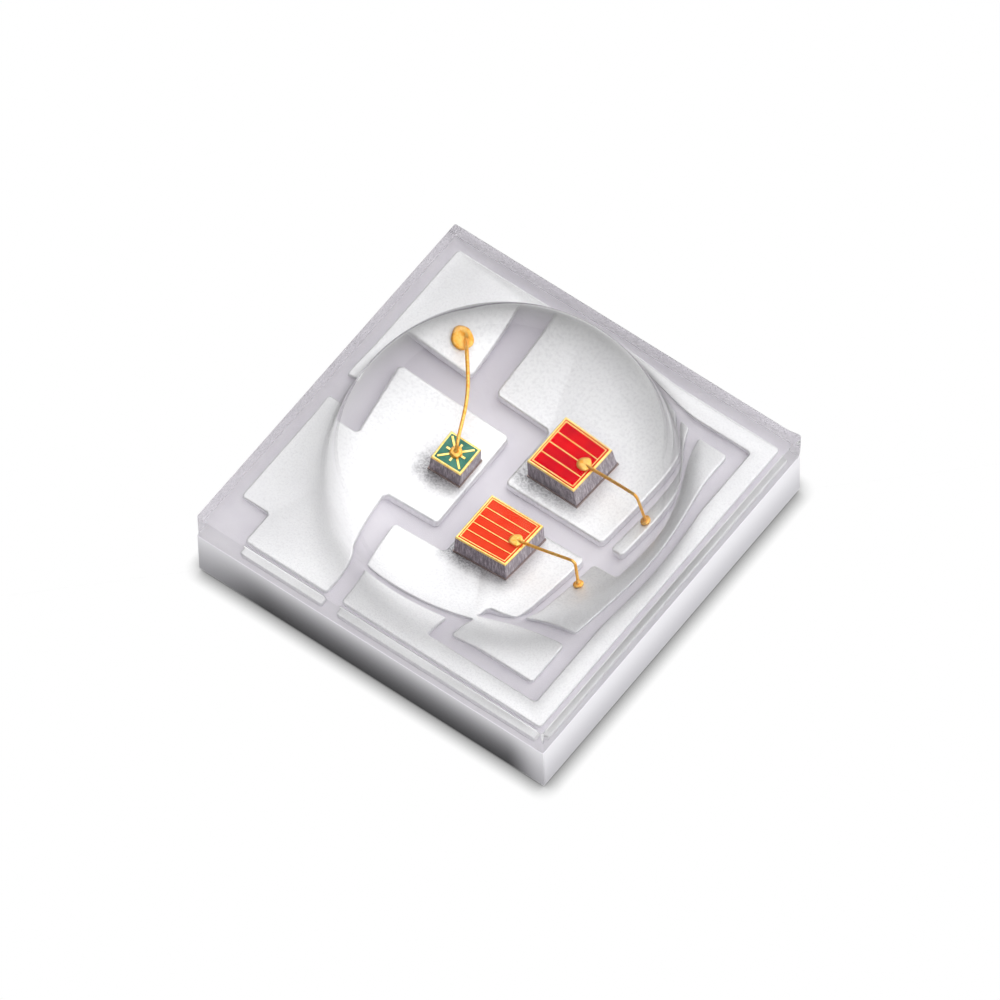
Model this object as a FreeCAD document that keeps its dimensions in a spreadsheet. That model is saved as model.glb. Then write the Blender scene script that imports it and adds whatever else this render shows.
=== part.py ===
import FreeCAD, Part
import math
import os
import Sketcher
from FreeCAD import Vector

# A surface-mount power LED: a ceramic tile with plated pads, three dies with their bond wires,
# and one clear silicone moulding over them. Millimetres, +Z up. The origin is the middle of the
# footprint on the solder plane. +X and -Y are the two sides nearest to the viewer.

DRIVING_SIZES = {
    # package
    "package_side": 3.45,
    "terminal_thickness": 0.03,
    "ceramic_thickness": 0.50,
    "pad_thickness": 0.06,
    # silicone lens
    "flange_thickness": 0.29,
    "dome_margin": 0.285,
    "dome_centre_rise": 0.20,
    "dome_foot_radius": 0.12,
    "dome_shift_x": 0.03,
    "dome_shift_y": 0.03,
    # top pads
    "pad_border": 0.115,
    "pad_corner": 0.02,
    "ring_width": 0.17,
    "ring_gap": 0.13,
    "etch_gap": 0.145,
    "strip_gap": 0.08,
    "strip_width": 0.11,
    "wire_pad_share": 0.084,
    "die_column": -0.088,
    "green_column": -0.44,
    "tail_column": 0.44,
    "red_row": 0.02,
    "green_row": 0.41,
    "step_row": -0.42,
    "neck_x": -0.82,
    "shoulder_y": -0.11,
    "shoulder_gap": 0.24,
    "polarity_notch_x": 0.28,
    "polarity_notch_y": 0.32,
    "notch_width": 0.23,
    "tail_step": 0.095,
    "ring_foot_share": 0.1413,
    # solder side
    "terminal_border": 0.125,
    "terminal_gap": 0.25,
    "terminal_length": 1.0,
    "terminal_corner": 0.05,
    "thermal_gap": 0.18,
    "via_diameter": 0.08,
    # dies
    "attach_thickness": 0.012,
    "attach_margin": 0.006,
    "edge_metal_thickness": 0.004,
    "emitter_inset": 0.012,
    "emitter_thickness": 0.008,
    "electrode_thickness": 0.004,
    "green_die_width": 0.20,
    "green_die_height": 0.105,
    "green_die_margin_x": 0.037,
    "green_die_margin_y": 0.21,
    "red_die_width": 0.345,
    "red_die_height": 0.145,
    "red_die_margin_x": 0.08,
    "red_die_margin_y": 0.11,
    "orange_die_width": 0.38,
    "orange_die_height": 0.12,
    "orange_die_margin_x": 0.045,
    "orange_die_margin_y": 0.03,
    # electrodes
    "frame_inset": 0.008,
    "frame_width": 0.005,
    "finger_width": 0.0045,
    "bond_spot_radius": 0.036,
    "bond_spot_inset": 0.06,
    "star_spoke_width": 0.012,
    "star_long_spoke": 0.105,
    "star_short_spoke": 0.062,
    # bond wires
    "wire_radius": 0.0125,
    "wire_bend": 0.035,
    "ball_height": 0.022,
    "ball_radius": 0.036,
    "ring_bump_radius": 0.047,
    "bump_dimple": 0.010,
    "green_loop_rise": 0.085,
    "green_kink_reach": 0.10,
    "green_kink_drop": 0.09,
    "red_loop_rise": 0.285,
    "red_kink_reach": 0.10,
    "red_kink_drop": 0.015,
    "orange_loop_rise": 0.245,
    "orange_kink_reach": 0.065,
    "orange_kink_drop": 0.045,
    "green_wire_end_x": 0.14,
    "green_wire_end_y": 0.155,
    "orange_wire_end_x": 0.045,
    "orange_wire_end_y": 0.03,
}


# how the bonding tool leaves a ball: where it is widest, and how wide it still is on top
BALL_WAIST_SHARE = 0.4
BALL_TOP_SHARE = 0.6

# the wire turns out of the ball over this angle, in this many equal turns
WIRE_TURN_DEGREES = 90
WIRE_TURNS = 3


class Length:
    """A size as a number, together with the spreadsheet expression that gives it."""

    def __init__(self, number, text):
        self.number = number
        self.text = text

    def joined(self, other, sign, number):
        return Length(number, f"({self.text} {sign} {as_length(other).text})")

    def __add__(self, other):
        return self.joined(other, "+", self.number + as_length(other).number)

    def __sub__(self, other):
        return self.joined(other, "-", self.number - as_length(other).number)

    def __mul__(self, other):
        return self.joined(other, "*", self.number * as_length(other).number)

    def __truediv__(self, other):
        return self.joined(other, "/", self.number / as_length(other).number)

    def __neg__(self):
        return Length(-self.number, f"(-1 * {self.text})")


def as_length(value):
    return value if isinstance(value, Length) else Length(value, str(value))


def hypotenuse(a, b):
    return Length((a.number ** 2 + b.number ** 2) ** 0.5, f"sqrt({a.text} ^ 2 + {b.text} ^ 2)")


def make_sheet(doc):
    """Put the driving sizes into the document's spreadsheet and return them as lengths."""
    sheet = doc.addObject("Spreadsheet::Sheet", "Sizes")
    sizes = {}
    for row, (alias, number) in enumerate(DRIVING_SIZES.items(), start=1):
        sheet.set(f"A{row}", alias)
        sheet.set(f"B{row}", str(number))
        sheet.setAlias(f"B{row}", alias)
        sizes[alias] = Length(number, f"Sizes.{alias}")
    doc.recompute()
    return sizes


def new_body(doc, name, x=None, y=None, z=None):
    """Start a piece whose own origin stands at the place given."""
    body = doc.addObject("PartDesign::Body", name)
    body.Label = name
    for axis, place in (("x", x), ("y", y), ("z", z)):
        if place is not None:
            body.setExpression(f"Placement.Base.{axis}", place.text)
    return body


def new_sketch(body, name, plane="XY_Plane", lift=None, turn=0):
    """Start a sketch on one of the piece's origin planes, lifted or turned where asked."""
    sketch = body.newObject("Sketcher::SketchObject", name)
    support = next(f for f in body.Origin.OriginFeatures if f.Role == plane)
    sketch.AttachmentSupport = [(support, "")]
    sketch.MapMode = "FlatFace"
    sketch.AttachmentOffset = FreeCAD.Placement(Vector(), FreeCAD.Rotation(Vector(0, 0, 1), turn))
    if lift is not None:
        sketch.setExpression("AttachmentOffset.Base.z", lift.text)
    return sketch


def pin(sketch, kind, geometry, point, length):
    """Hold one point of a sketch at a named distance from the sketch's origin."""
    rule = Sketcher.Constraint(kind, -1, 1, geometry, point, length.number)
    sketch.setExpression(f"Constraints[{sketch.addConstraint(rule)}]", length.text)


def set_radius(sketch, geometry, radius):
    rule = Sketcher.Constraint("Radius", geometry, radius.number)
    sketch.setExpression(f"Constraints[{sketch.addConstraint(rule)}]", radius.text)


def draw_stepped_outline(sketch, turns):
    """Draw a closed outline whose sides run along X and Y in turn.

    The turns name each side's place: an x, then a y, then the next x and so on.
    """
    xs, ys = turns[0::2], turns[1::2]
    corners = []
    for index, y in enumerate(ys):
        corners += [(xs[index], y), (xs[(index + 1) % len(xs)], y)]
    points = [Vector(x.number, y.number, 0) for x, y in corners]
    ends = points[1:] + points[:1]
    lines = [sketch.addGeometry(Part.LineSegment(a, b)) for a, b in zip(points, ends)]
    for index, line in enumerate(lines):
        following = lines[(index + 1) % len(lines)]
        sketch.addConstraint(Sketcher.Constraint("Coincident", line, 2, following, 1))
        x, y = corners[index]
        if index % 2 == 0:
            sketch.addConstraint(Sketcher.Constraint("Horizontal", line))
            pin(sketch, "DistanceY", line, 1, y)
        else:
            sketch.addConstraint(Sketcher.Constraint("Vertical", line))
            pin(sketch, "DistanceX", line, 1, x)


def draw_polyline(sketch, corners, closed):
    """Draw straight lines from corner to corner, with each corner held in x and y."""
    points = [Vector(x.number, y.number, 0) for x, y in corners]
    wrap = 1 if closed else 0
    ends = points[1:] + points[:wrap]
    lines = [sketch.addGeometry(Part.LineSegment(a, b)) for a, b in zip(points, ends)]
    for line, (x, y) in zip(lines, corners):
        pin(sketch, "DistanceX", line, 1, x)
        pin(sketch, "DistanceY", line, 1, y)
    for line, following in zip(lines, lines[1:] + lines[:wrap]):
        sketch.addConstraint(Sketcher.Constraint("Coincident", line, 2, following, 1))
    if not closed:
        x, y = corners[-1]
        pin(sketch, "DistanceX", lines[-1], 2, x)
        pin(sketch, "DistanceY", lines[-1], 2, y)


def draw_circle(sketch, x, y, radius):
    centre = Vector(x.number, y.number, 0)
    circle = sketch.addGeometry(Part.Circle(centre, Vector(0, 0, 1), radius.number))
    pin(sketch, "DistanceX", circle, 3, x)
    pin(sketch, "DistanceY", circle, 3, y)
    set_radius(sketch, circle, radius)


def add_pad(body, sketch, height):
    """Raise a sketch by the height given."""
    pad = body.newObject("PartDesign::Pad", sketch.Name + "_pad")
    pad.Profile = sketch
    pad.setExpression("Length", height.text)
    body.Tip = pad
    return pad


def add_revolution(body, sketch, axis):
    """Turn a sketch once round one of its own axes."""
    turned = body.newObject("PartDesign::Revolution", sketch.Name + "_turned")
    turned.Profile = sketch
    turned.ReferenceAxis = (sketch, [axis])
    turned.Angle = 360
    body.Tip = turned
    return turned


def dress_edges(body, feature, kind, measure, size, is_wanted):
    """Chamfer or round the edges of a feature that a test picks out."""
    body.Document.recompute()
    names = [f"Edge{i}" for i, edge in enumerate(feature.Shape.Edges, start=1) if is_wanted(edge)]
    dressed = body.newObject(f"PartDesign::{kind}", feature.Name + "_edges")
    dressed.Base = (feature, names)
    dressed.setExpression(measure, size.text)
    body.Tip = dressed


def is_upright(edge):
    start, end = edge.Vertexes[0].Point, edge.Vertexes[-1].Point
    return abs(start.z - end.z) > 1e-4 and start.distanceToPoint(end) - abs(start.z - end.z) < 1e-6


def make_plate(doc, name, turns, z, thickness, corner=None):
    """A flat plate with a stepped outline in the package's own X and Y."""
    body = new_body(doc, name, z=z)
    sketch = new_sketch(body, name + "_outline")
    draw_stepped_outline(sketch, turns)
    plate = add_pad(body, sketch, thickness)
    if corner is not None:
        dress_edges(body, plate, "Chamfer", "Size", corner, is_upright)
    return body


def make_block(doc, name, side, x, y, z, height):
    """A square block that stands centred on the place given."""
    body = new_body(doc, name, x, y, z)
    sketch = new_sketch(body, name + "_outline")
    draw_stepped_outline(sketch, [-(side / 2), -(side / 2), side / 2, side / 2])
    add_pad(body, sketch, height)
    return body


class Levels:
    """Heights of the package's layers above the solder plane."""

    def __init__(self, size):
        self.ceramic_bottom = size["terminal_thickness"]
        self.ceramic_top = self.ceramic_bottom + size["ceramic_thickness"]
        self.pad_top = self.ceramic_top + size["pad_thickness"]


class PadLines:
    """The places, across the tile, of the sides that the top pads share."""

    def __init__(self, size):
        half_gap = size["etch_gap"] / 2
        self.border = size["package_side"] / 2 - size["pad_border"]
        self.ring = self.border - size["ring_width"]
        self.island = self.ring - size["ring_gap"]
        # sides that run along Y
        self.left_of_dies = size["die_column"] - half_gap
        self.right_of_column = size["die_column"] + half_gap
        self.green_right = size["green_column"] - half_gap
        self.middle_left = size["green_column"] + half_gap
        self.neck = size["neck_x"]
        self.shoulder_step = size["neck_x"] - size["ring_gap"]
        self.wire_pad_left = self.island - size["package_side"] * size["wire_pad_share"]
        self.strip_right = self.wire_pad_left - size["ring_gap"]
        self.strip_left = self.strip_right - size["strip_width"]
        self.die_pads_right = self.strip_left - size["strip_gap"]
        self.notch_left = self.die_pads_right - size["notch_width"]
        self.tail_left = size["tail_column"] + half_gap
        self.ring_foot_right = size["tail_column"] - half_gap
        # sides that run along X
        self.green_top = size["green_row"] - half_gap
        self.red_step = size["green_row"] + half_gap
        self.red_bottom = size["red_row"] + half_gap
        self.orange_top = size["red_row"] - half_gap
        self.green_step = size["step_row"] + half_gap
        self.orange_step = size["step_row"] - half_gap
        self.ring_foot_top = size["package_side"] * size["ring_foot_share"] - self.border
        self.orange_bottom = self.ring_foot_top + size["etch_gap"]
        self.notch_bottom = self.orange_bottom + size["tail_step"]
        self.notch_top = self.notch_bottom + size["etch_gap"]
        self.shoulder = size["shoulder_y"]
        self.ring_shoulder = size["shoulder_y"] + size["shoulder_gap"]


def make_top_pads(doc, size, level, line):
    """The six plated copper pads on the tile, three for dies and three for bond wires."""
    border, ring, island = line.border, line.ring, line.island
    outlines = {
        "green_die_pad": [
            line.neck, line.green_top, line.left_of_dies, line.green_step, line.green_right, -border,
            size["polarity_notch_x"] - border, size["polarity_notch_y"] - border, -border, line.shoulder,
        ],
        "red_die_pad": [
            line.middle_left, island, line.die_pads_right, line.red_bottom,
            line.right_of_column, line.red_step,
        ],
        "orange_die_pad": [
            line.middle_left, line.orange_step, line.right_of_column, line.orange_top,
            line.die_pads_right, line.notch_top, line.notch_left, line.notch_bottom,
            island, -island, line.tail_left, line.orange_bottom,
        ],
        "green_wire_pad": [
            -border, line.ring_shoulder, line.shoulder_step, line.red_step, line.green_right, ring,
            ring, -ring, line.ring_foot_right, line.ring_foot_top, line.middle_left, -border,
            border, border,
        ],
        "red_wire_pad": [line.strip_left, line.red_bottom, line.strip_right, island],
        "orange_wire_pad": [
            line.strip_left, line.orange_top, line.wire_pad_left, island, island, line.notch_top,
        ],
    }
    return [
        make_plate(doc, name, turns, level.ceramic_top, size["pad_thickness"], size["pad_corner"])
        for name, turns in outlines.items()
    ]


class Terminals:
    """The grid of the solder side: two rows of three equal terminals."""

    def __init__(self, size):
        self.outer = size["package_side"] / 2 - size["terminal_border"]
        self.inner = self.outer - size["terminal_length"]
        self.row = (self.outer + self.inner) / 2
        self.width = (self.outer * 2 - size["terminal_gap"] * 2) / 3
        self.pitch = self.width + size["terminal_gap"]


def via_places(grid, line):
    """Where each filled via stands: inside its top pad and its terminal at once."""
    middle = as_length(0.0)
    return {
        "green_wire": (-grid.pitch, grid.row),
        "red_die": (middle, grid.row),
        "red_wire": ((line.strip_left + line.strip_right) / 2, grid.row),
        "green_die": (-grid.pitch, -grid.row),
        "orange_die": (middle, (line.orange_bottom - grid.inner) / 2),
        "orange_wire": ((line.strip_left + line.island) / 2, (line.notch_top - grid.inner) / 2),
    }


def make_ceramic(doc, size, level, vias):
    """The white ceramic tile, with a hole for each via."""
    half = size["package_side"] / 2
    body = make_plate(
        doc, "ceramic_substrate", [-half, -half, half, half],
        level.ceramic_bottom, size["ceramic_thickness"],
    )
    holes = new_sketch(body, "via_holes", lift=size["ceramic_thickness"])
    for x, y in vias.values():
        draw_circle(holes, x, y, size["via_diameter"] / 2)
    pocket = body.newObject("PartDesign::Pocket", "via_bores")
    pocket.Profile = holes
    pocket.Type = "ThroughAll"
    body.Tip = pocket
    return body


def make_vias(doc, size, level, vias):
    """Copper that fills the holes of the tile and joins each top pad to its terminal."""
    pieces = []
    for name, (x, y) in vias.items():
        body = new_body(doc, name + "_via", x, y, level.ceramic_bottom)
        sketch = new_sketch(body, name + "_via_section")
        draw_circle(sketch, as_length(0.0), as_length(0.0), size["via_diameter"] / 2)
        add_pad(body, sketch, size["ceramic_thickness"])
        pieces.append(body)
    return pieces


def make_solder_side(doc, size, grid):
    """Two rows of three solder terminals, with the thermal pad between the rows."""
    outer, inner, half_width = grid.outer, grid.inner, grid.width / 2
    thermal = inner - size["thermal_gap"]
    ground = as_length(0.0)
    thickness, corner = size["terminal_thickness"], size["terminal_corner"]
    rows = (
        (inner, outer, ("green_wire", "red_die", "red_wire")),
        (-outer, -inner, ("green_die", "orange_die", "orange_wire")),
    )
    pieces = [make_plate(
        doc, "thermal_pad", [-outer, -thermal, outer, thermal], ground, thickness, corner,
    )]
    for low, high, names in rows:
        for column, name in enumerate(names, start=-1):
            middle = grid.pitch * column
            turns = [middle - half_width, low, middle + half_width, high]
            pieces.append(make_plate(doc, name + "_terminal", turns, ground, thickness, corner))
    return pieces


class Die:
    """A square die on its pad: where its centre stands and how high its layers lie."""

    def __init__(self, colour, size, level, x, y):
        self.colour = colour
        self.size = size
        self.x, self.y = x, y
        self.side = size[colour + "_die_width"]
        self.attach_bottom = level.pad_top
        self.bottom = self.attach_bottom + size["attach_thickness"]
        self.edge_bottom = self.bottom + size[colour + "_die_height"]
        self.emitter_bottom = self.edge_bottom + size["edge_metal_thickness"]
        self.electrode_bottom = self.emitter_bottom + size["emitter_thickness"]
        self.top = self.electrode_bottom + size["electrode_thickness"]
        self.emitter_side = self.side - size["emitter_inset"] * 2

    def make_layers(self, doc):
        """The bonding layer, the dark body, the gold edge metal and the emitting layer."""
        size, name = self.size, self.colour + "_die"
        layers = (
            ("_attach", self.side + size["attach_margin"] * 2, self.attach_bottom, size["attach_thickness"]),
            ("_body", self.side, self.bottom, size[name + "_height"]),
            ("_edge_metal", self.side, self.edge_bottom, size["edge_metal_thickness"]),
            ("_emitter", self.emitter_side, self.emitter_bottom, size["emitter_thickness"]),
        )
        return [
            make_block(doc, name + suffix, side, self.x, self.y, bottom, height)
            for suffix, side, bottom, height in layers
        ]

    def make_star_electrode(self, doc):
        """A round bond spot with four long diagonal spokes and four short ones."""
        size = self.size
        height = size["electrode_thickness"]
        body = new_body(doc, self.colour + "_die_electrode", self.x, self.y, self.electrode_bottom)
        spot = new_sketch(body, self.colour + "_bond_spot")
        draw_circle(spot, as_length(0.0), as_length(0.0), size["bond_spot_radius"])
        add_pad(body, spot, height)
        half = size["star_spoke_width"] / 2
        for turn in (0, 45, 90, 135):
            reach = size["star_long_spoke"] if turn % 90 else size["star_short_spoke"]
            bar = new_sketch(body, f"{self.colour}_spokes_{turn}", turn=turn)
            draw_stepped_outline(bar, [-reach, -half, reach, half])
            add_pad(body, bar, height)
        return body

    def make_finger_electrode(self, doc, fingers):
        """A thin square frame, the fingers across it, and a bond spot near its right side."""
        size = self.size
        height = size["electrode_thickness"]
        body = new_body(doc, self.colour + "_die_electrode", self.x, self.y, self.electrode_bottom)
        outer = self.emitter_side / 2 - size["frame_inset"]
        inner = outer - size["frame_width"]
        frame = new_sketch(body, self.colour + "_frame")
        draw_stepped_outline(frame, [-outer, -outer, outer, outer])
        draw_stepped_outline(frame, [-inner, -inner, inner, inner])
        add_pad(body, frame, height)
        pitch = inner * 2 / (fingers + 1)
        half = size["finger_width"] / 2
        for index in range(fingers):
            middle = pitch * (index + 1) - inner
            finger = new_sketch(body, f"{self.colour}_finger_{index}")
            draw_stepped_outline(finger, [-inner, middle - half, inner, middle + half])
            add_pad(body, finger, height)
        spot = new_sketch(body, self.colour + "_bond_spot")
        draw_circle(spot, self.side / 2 - size["bond_spot_inset"], as_length(0.0), size["bond_spot_radius"])
        add_pad(body, spot, height)
        return body


def make_dies(doc, size, level, line):
    """Stand each die on its pad, measured from that pad's own sides."""
    half = {colour: size[colour + "_die_width"] / 2 for colour in ("green", "red", "orange")}
    green = Die(
        "green", size, level,
        line.left_of_dies - size["green_die_margin_x"] - half["green"],
        line.green_top - size["green_die_margin_y"] - half["green"],
    )
    red = Die(
        "red", size, level,
        line.right_of_column + size["red_die_margin_x"] + half["red"],
        line.red_bottom + size["red_die_margin_y"] + half["red"],
    )
    orange = Die(
        "orange", size, level,
        line.right_of_column + size["orange_die_margin_x"] + half["orange"],
        line.orange_top - size["orange_die_margin_y"] - half["orange"],
    )
    pieces = green.make_layers(doc) + red.make_layers(doc) + orange.make_layers(doc)
    pieces.append(green.make_star_electrode(doc))
    pieces.append(red.make_finger_electrode(doc, 3))
    pieces.append(orange.make_finger_electrode(doc, 4))
    return pieces, green, red, orange


class WireEnd:
    """One end of a bond wire: its place, the height it stands on and its squashed ball."""

    def __init__(self, x, y, bottom, radius, dimple=None):
        self.x, self.y = x, y
        self.bottom = bottom
        self.radius = radius
        self.dimple = dimple


class BondWire:
    """A gold wire from its ball, straight up, over and down into the bump at its far end.

    Its own X runs from the ball to the bump and its own Z is 0 at the top of the pads.
    """

    def __init__(self, colour, size, pad_top, ball, bump):
        self.colour = colour
        self.size = size
        self.pad_top = pad_top
        self.ball, self.bump = ball, bump
        self.along_x = bump.x - ball.x
        self.along_y = bump.y - ball.y
        self.reach = hypotenuse(self.along_x, self.along_y)

    def add_squashed_ball(self, body, name, axis_x, end):
        """A ball that the bonding tool pressed flat, on the wire's own Z or beside it."""
        height = self.size["ball_height"]
        crown = end.bottom + height
        outline = [
            (axis_x, end.bottom),
            (axis_x + end.radius - height / 2, end.bottom),
            (axis_x + end.radius, end.bottom + height * BALL_WAIST_SHARE),
            (axis_x + end.radius * BALL_TOP_SHARE, crown),
            (axis_x, crown if end.dimple is None else crown - end.dimple),
        ]
        sketch = new_sketch(body, name, "XZ_Plane")
        draw_polyline(sketch, outline, closed=True)
        add_revolution(body, sketch, f"Edge{len(outline)}")

    def path_corners(self, low):
        """The middle line: straight up, over in equal turns, level, and down to the bump."""
        size, bend = self.size, self.size["wire_bend"]
        high = self.ball.bottom + size[self.colour + "_loop_rise"]
        corners = [(as_length(0.0), low)]
        for step in range(WIRE_TURNS + 1):
            turn = math.radians(WIRE_TURN_DEGREES * step / WIRE_TURNS)
            corners.append((bend * (1 - math.cos(turn)), high - bend * (1 - math.sin(turn))))
        corners.append((
            self.reach - size[self.colour + "_kink_reach"], high - size[self.colour + "_kink_drop"],
        ))
        corners.append((self.reach, self.bump.bottom + size["wire_radius"]))
        return corners

    def make(self, doc):
        """One solid of gold: the ball, the wire and the bump that holds its far end."""
        size, zero = self.size, as_length(0.0)
        body = new_body(doc, self.colour + "_bond_wire", self.ball.x, self.ball.y, self.pad_top)
        body.setExpression("Placement.Rotation.Angle", f"atan2({self.along_y.text}; {self.along_x.text})")
        self.add_squashed_ball(body, self.colour + "_ball", zero, self.ball)
        low = self.ball.bottom + size["ball_height"] / 2
        path = new_sketch(body, self.colour + "_wire_path", "XZ_Plane")
        draw_polyline(path, self.path_corners(low), closed=False)
        section = new_sketch(body, self.colour + "_wire_section", lift=low)
        draw_circle(section, zero, zero, size["wire_radius"])
        wire = body.newObject("PartDesign::AdditivePipe", self.colour + "_wire")
        wire.Profile = section
        wire.Spine = (path, [])
        wire.Transition = "Right corner"
        body.Tip = wire
        self.add_squashed_ball(body, self.colour + "_bump", self.reach, self.bump)
        return body


def make_bond_wires(doc, size, level, line, dies):
    """One wire for each die, to the pad beside the one that carries the die.

    The green die has the wire's ball, and its pad the bump. The other two are the other way round.
    """
    green, red, orange = dies
    zero, radius = as_length(0.0), size["ball_radius"]
    spot = {die.colour: die.x + die.side / 2 - size["bond_spot_inset"] for die in (red, orange)}
    top = {die.colour: die.top - level.pad_top for die in dies}
    green_end_x = line.green_right - size["green_wire_end_x"]
    green_end_y = line.red_step + size["green_wire_end_y"]
    orange_end_x = line.strip_left + size["orange_wire_end_x"]
    orange_end_y = orange.y + size["orange_wire_end_y"]
    strip_middle = (line.strip_left + line.strip_right) / 2
    ends = {
        "green": (
            WireEnd(green.x, green.y, top["green"], radius),
            WireEnd(green_end_x, green_end_y, zero, size["ring_bump_radius"], size["bump_dimple"]),
        ),
        "red": (
            WireEnd(strip_middle, red.y, zero, radius),
            WireEnd(spot["red"], red.y, top["red"], radius),
        ),
        "orange": (
            WireEnd(orange_end_x, orange_end_y, zero, radius),
            WireEnd(spot["orange"], orange.y, top["orange"], radius),
        ),
    }
    return [
        BondWire(colour, size, level.pad_top, ball, bump).make(doc)
        for colour, (ball, bump) in ends.items()
    ]


def make_lens(doc, size, level, embedded):
    """The clear silicone moulding: a square flange and a dome, filled in round all it covers."""
    shift_x, shift_y = size["dome_shift_x"], size["dome_shift_y"]
    half = size["package_side"] / 2
    body = new_body(doc, "lens_blank", shift_x, shift_y, level.ceramic_top)
    flange = new_sketch(body, "flange_outline")
    draw_stepped_outline(flange, [-half - shift_x, -half - shift_y, half - shift_x, half - shift_y])
    add_pad(body, flange, size["flange_thickness"])

    radius, rise = half - size["dome_margin"], size["dome_centre_rise"]
    profile = new_sketch(body, "dome_profile", "XZ_Plane")
    start_angle = -math.asin(rise.number / radius.number)
    centre, crown = Vector(0, rise.number, 0), Vector(0, rise.number + radius.number, 0)
    foot = Vector(radius.number * math.cos(start_angle), 0, 0)
    circle = Part.Circle(centre, Vector(0, 0, 1), radius.number)
    arc = profile.addGeometry(Part.ArcOfCircle(circle, start_angle, math.pi / 2))
    axis = profile.addGeometry(Part.LineSegment(crown, Vector(0, 0, 0)))
    base = profile.addGeometry(Part.LineSegment(Vector(0, 0, 0), foot))
    for constraint in (
        ("Coincident", arc, 2, axis, 1), ("Coincident", axis, 2, base, 1), ("Coincident", base, 2, arc, 1),
        ("Vertical", axis), ("Coincident", axis, 2, -1, 1), ("Horizontal", base),
        ("PointOnObject", arc, 3, -2),
    ):
        profile.addConstraint(Sketcher.Constraint(*constraint))
    set_radius(profile, arc, radius)
    pin(profile, "DistanceY", arc, 3, rise)
    dome = add_revolution(body, profile, "V_Axis")

    foot_height = size["flange_thickness"].number

    def is_dome_foot(edge):
        low, high = edge.BoundBox.ZMin, edge.BoundBox.ZMax
        return edge.isClosed() and abs(low - foot_height) < 1e-4 and high - low < 1e-4

    dress_edges(body, dome, "Fillet", "Radius", size["dome_foot_radius"], is_dome_foot)

    inside = doc.addObject("Part::MultiFuse", "embedded_pieces")
    inside.Shapes = embedded
    lens = doc.addObject("Part::Cut", "silicone_lens")
    lens.Label = "silicone_lens"
    lens.Base = body
    lens.Tool = inside
    return lens


def check_and_write(doc, pieces):
    """Stop at any object that failed, and write each piece to its own file."""
    for item in doc.Objects:
        if "Invalid" in item.State or "Error" in item.State:
            raise RuntimeError(f"{item.Name} did not build: {item.State}")
    for piece in pieces:
        if piece.Shape.isNull() or not piece.Shape.isValid():
            raise RuntimeError(f"{piece.Label} has no sound solid")
    os.makedirs("parts", exist_ok=True)
    for piece in pieces:
        piece.Shape.exportStep(f"parts/{piece.Label}.step")


def build():
    doc = FreeCAD.newDocument("smd_led")
    size = make_sheet(doc)
    level, line = Levels(size), PadLines(size)
    grid = Terminals(size)
    vias = via_places(grid, line)
    top_pads = make_top_pads(doc, size, level, line)
    die_pieces, *dies = make_dies(doc, size, level, line)
    wires = make_bond_wires(doc, size, level, line, dies)
    embedded = top_pads + die_pieces + wires
    pieces = [make_ceramic(doc, size, level, vias), *make_vias(doc, size, level, vias)]
    pieces += make_solder_side(doc, size, grid) + embedded
    pieces.append(make_lens(doc, size, level, embedded))
    doc.recompute()
    check_and_write(doc, pieces)


build()
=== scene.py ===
"""Looks of a surface-mount power LED: three wired dies on plated pads under one clear moulding.

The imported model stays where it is. Pads, tile and terminals get copies with broken edges, the
moulding and the bond wires get smooth skins, and every piece gets the finish of the real one.
"""

import enum
import logging
import math
from collections.abc import Sequence
from dataclasses import dataclass, field
from typing import NamedTuple

import bmesh
import bpy
import numpy as np
from bpy.types import Material, Node, NodeSocket, NodeTree, Object
from mathutils import Matrix, Vector


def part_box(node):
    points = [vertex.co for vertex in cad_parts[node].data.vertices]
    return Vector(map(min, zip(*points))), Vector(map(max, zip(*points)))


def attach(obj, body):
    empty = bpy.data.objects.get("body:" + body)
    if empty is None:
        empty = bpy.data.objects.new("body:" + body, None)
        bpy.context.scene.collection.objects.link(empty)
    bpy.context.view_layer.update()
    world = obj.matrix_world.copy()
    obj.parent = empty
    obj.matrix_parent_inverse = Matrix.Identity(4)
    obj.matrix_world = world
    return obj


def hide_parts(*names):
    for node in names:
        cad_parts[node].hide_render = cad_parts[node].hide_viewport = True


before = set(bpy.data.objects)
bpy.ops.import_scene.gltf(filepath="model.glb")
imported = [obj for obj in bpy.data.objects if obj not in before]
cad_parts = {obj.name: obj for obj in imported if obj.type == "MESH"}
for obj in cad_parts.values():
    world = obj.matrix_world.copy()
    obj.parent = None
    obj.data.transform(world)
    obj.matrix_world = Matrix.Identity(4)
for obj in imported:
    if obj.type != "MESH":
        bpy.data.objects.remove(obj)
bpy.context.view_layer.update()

log = logging.getLogger("smd_led")

MM = 0.001
Point = tuple[float, float]
Place = tuple[float, float, float]

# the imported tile's underside, top and front side, and the dome's shift along both sides, in mm
TILE_BOTTOM, TILE_TOP, TILE_FRONT = 0.03, 0.53, -1.725
DOME_SHIFT = 0.03
# the way across the tile that leads away from the viewer
FAR_WAY: Point = (-0.62, 0.78)
# what makes a MapRange node's curve S-shaped
SMOOTH = {"interpolation_type": "SMOOTHSTEP"}
# a ray's depth above this means that it has turned or passed once at least
ONCE = 0.5


class Slot(enum.Enum):
    """The record's material slots. The pieces made here are passed one, which nothing reads."""

    CERAMIC = "white_ceramic"
    SILICONE = "clear_silicone"
    SILVER = "silver_plate"
    GOLD = "gold"


class Colour(enum.Enum):
    """The three dies, by the colour they shine in."""

    GREEN = "green"
    RED = "red"
    ORANGE = "orange"


class Fade(NamedTuple):
    """An S-shaped curve: the two values it runs between and what it gives at each."""

    low: float
    high: float
    start: float = 0.0
    end: float = 1.0


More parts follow.
